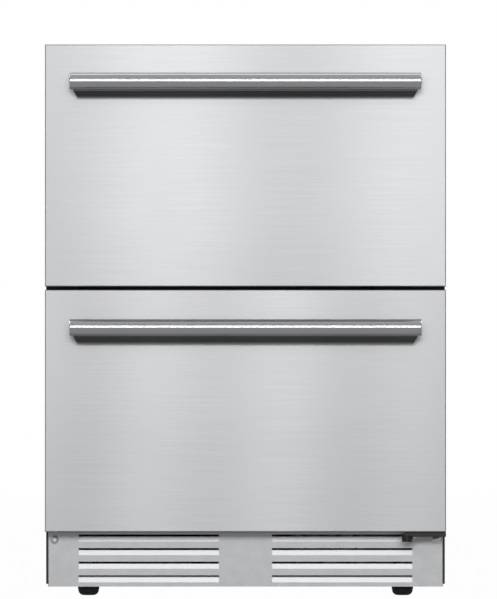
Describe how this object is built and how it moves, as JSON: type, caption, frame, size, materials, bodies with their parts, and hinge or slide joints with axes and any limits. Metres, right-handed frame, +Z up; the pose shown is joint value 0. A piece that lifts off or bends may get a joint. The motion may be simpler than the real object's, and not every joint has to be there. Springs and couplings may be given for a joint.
{
  "type": "undercounter drawer refrigerator",
  "caption": "Undercounter refrigerator with full-width drawers on telescopic slides, tubular handles, a louvred kick plate, levelling feet and a rear machine compartment.",
  "frame": {"origin": "on the floor under the feet, at the middle of the plan outline from the handles to the rear cover", "axes": "+Z up, the drawer fronts face -Y, +X to the viewer's right"},
  "size_m": [0.595, 0.64, 0.82],
  "materials": {
    "cabinet_sheet": "satin",
    "galvanised_sheet": "satin",
    "insulation": "matte",
    "liner": "satin",
    "black_plastic": "matte",
    "kick_plate_steel": "satin",
    "screw_steel": "gloss",
    "black_steel": "satin",
    "grommet_rubber": "matte",
    "coil_aluminium": "satin",
    "fan_motor": "satin",
    "fan_plastic": "satin",
    "copper": "satin",
    "lamp_diffuser": "satin",
    "button_plastic": "satin",
    "slide_steel": "gloss",
    "upper_face_steel": "satin",
    "lower_face_steel": "satin",
    "handle_steel": "satin",
    "gasket_rubber": "matte",
    "bin_plastic": "satin"
  },
  "bodies": {
    "cabinet": {"side_panels": "cabinet_sheet", "top_panel": "cabinet_sheet", "back_panel": "galvanised_sheet", "base_pan": "galvanised_sheet", "insulation_sides": "insulation", "insulation_top": "insulation", "insulation_back": "insulation", "insulation_floor": "insulation", "insulation_step": "insulation", "inner_liner": "liner", "breaker_strips": "black_plastic", "mullion": "black_plastic", "kick_plate": "kick_plate_steel", "kick_plate_screws": "screw_steel", "corner_bracket": "black_steel", "air_divider": "galvanised_sheet", "compressor": "black_steel", "compressor_grommets": "grommet_rubber", "condenser": "coil_aluminium", "fan_shroud": "black_plastic", "condenser_fan_motor": "fan_motor", "drip_tray": "black_plastic", "refrigerant_lines": "copper", "evaporator": "coil_aluminium", "evaporator_cover": "liner", "evaporator_fan_motor": "fan_motor", "rear_cover": "galvanised_sheet", "power_inlet": "black_plastic", "control_module": "black_plastic", "ceiling_lamp": "lamp_diffuser", "cabinet_slides": "slide_steel"},
    "condenser_fan": {"condenser_fan": "fan_plastic"},
    "evaporator_fan": {"evaporator_fan": "liner"},
    "power_button": {"power_button": "button_plastic"},
    "warmer_button": {"warmer_button": "button_plastic"},
    "cooler_button": {"cooler_button": "button_plastic"},
    "foot_front_left": {"foot_front_left": "black_plastic"},
    "foot_front_right": {"foot_front_right": "black_plastic"},
    "foot_rear_left": {"foot_rear_left": "black_plastic"},
    "foot_rear_right": {"foot_rear_right": "black_plastic"},
    "upper_drawer": {"upper_face": "upper_face_steel", "upper_foam": "insulation", "upper_inner_panel": "liner", "upper_gasket": "gasket_rubber", "upper_handle": "handle_steel", "upper_handle_bracket": "black_steel", "upper_handle_screws": "screw_steel", "upper_bin": "bin_plastic", "upper_bin_slides": "slide_steel"},
    "upper_middle_slides": {"upper_middle_slides": "slide_steel"},
    "lower_drawer": {"lower_face": "lower_face_steel", "lower_foam": "insulation", "lower_inner_panel": "liner", "lower_gasket": "gasket_rubber", "lower_handle": "handle_steel", "lower_handle_bracket": "black_steel", "lower_handle_screws": "screw_steel", "lower_bin": "bin_plastic", "lower_bin_slides": "slide_steel"},
    "lower_middle_slides": {"lower_middle_slides": "slide_steel"}
  },
  "joints": [
    {"name": "upper_drawer_slide", "type": "slide", "parent": "cabinet", "child": "upper_drawer", "axis": [0, -1, 0], "range_m": [0, 0.34]},
    {"name": "upper_middle_slide", "type": "slide", "parent": "cabinet", "child": "upper_middle_slides", "axis": [0, -1, 0], "range_m": [0, 0.17]},
    {"name": "lower_drawer_slide", "type": "slide", "parent": "cabinet", "child": "lower_drawer", "axis": [0, -1, 0], "range_m": [0, 0.23]},
    {"name": "lower_middle_slide", "type": "slide", "parent": "cabinet", "child": "lower_middle_slides", "axis": [0, -1, 0], "range_m": [0, 0.115]},
    {"name": "condenser_fan_spin", "type": "hinge", "parent": "cabinet", "child": "condenser_fan", "pos_m": [0.018, 0.218, 0.1015], "axis": [1, 0, 0], "continuous": true},
    {"name": "evaporator_fan_spin", "type": "hinge", "parent": "cabinet", "child": "evaporator_fan", "pos_m": [0, 0.21, 0.698], "axis": [0, 1, 0], "continuous": true},
    {"name": "power_button_press", "type": "slide", "parent": "cabinet", "child": "power_button", "axis": [0, 1, 0], "range_m": [0, 0.0012], "stiffness_N_per_m": 600, "springref_m": -0.0006},
    {"name": "warmer_button_press", "type": "slide", "parent": "cabinet", "child": "warmer_button", "axis": [0, 1, 0], "range_m": [0, 0.0012], "stiffness_N_per_m": 600, "springref_m": -0.0006},
    {"name": "cooler_button_press", "type": "slide", "parent": "cabinet", "child": "cooler_button", "axis": [0, 1, 0], "range_m": [0, 0.0012], "stiffness_N_per_m": 600, "springref_m": -0.0006},
    {"name": "foot_front_left_turn", "type": "hinge", "parent": "cabinet", "child": "foot_front_left", "pos_m": [-0.2345, -0.165, 0], "axis": [0, 0, 1], "continuous": true},
    {"name": "foot_front_right_turn", "type": "hinge", "parent": "cabinet", "child": "foot_front_right", "pos_m": [0.2345, -0.165, 0], "axis": [0, 0, 1], "continuous": true},
    {"name": "foot_rear_left_turn", "type": "hinge", "parent": "cabinet", "child": "foot_rear_left", "pos_m": [-0.2345, 0.274, 0], "axis": [0, 0, 1], "continuous": true},
    {"name": "foot_rear_right_turn", "type": "hinge", "parent": "cabinet", "child": "foot_rear_right", "pos_m": [0.2345, 0.274, 0], "axis": [0, 0, 1], "continuous": true}
  ],
  "couplings": [
    {"joint": "upper_middle_slide", "follows": "upper_drawer_slide", "ratio": 0.5},
    {"joint": "lower_middle_slide", "follows": "lower_drawer_slide", "ratio": 0.5}
  ]
}
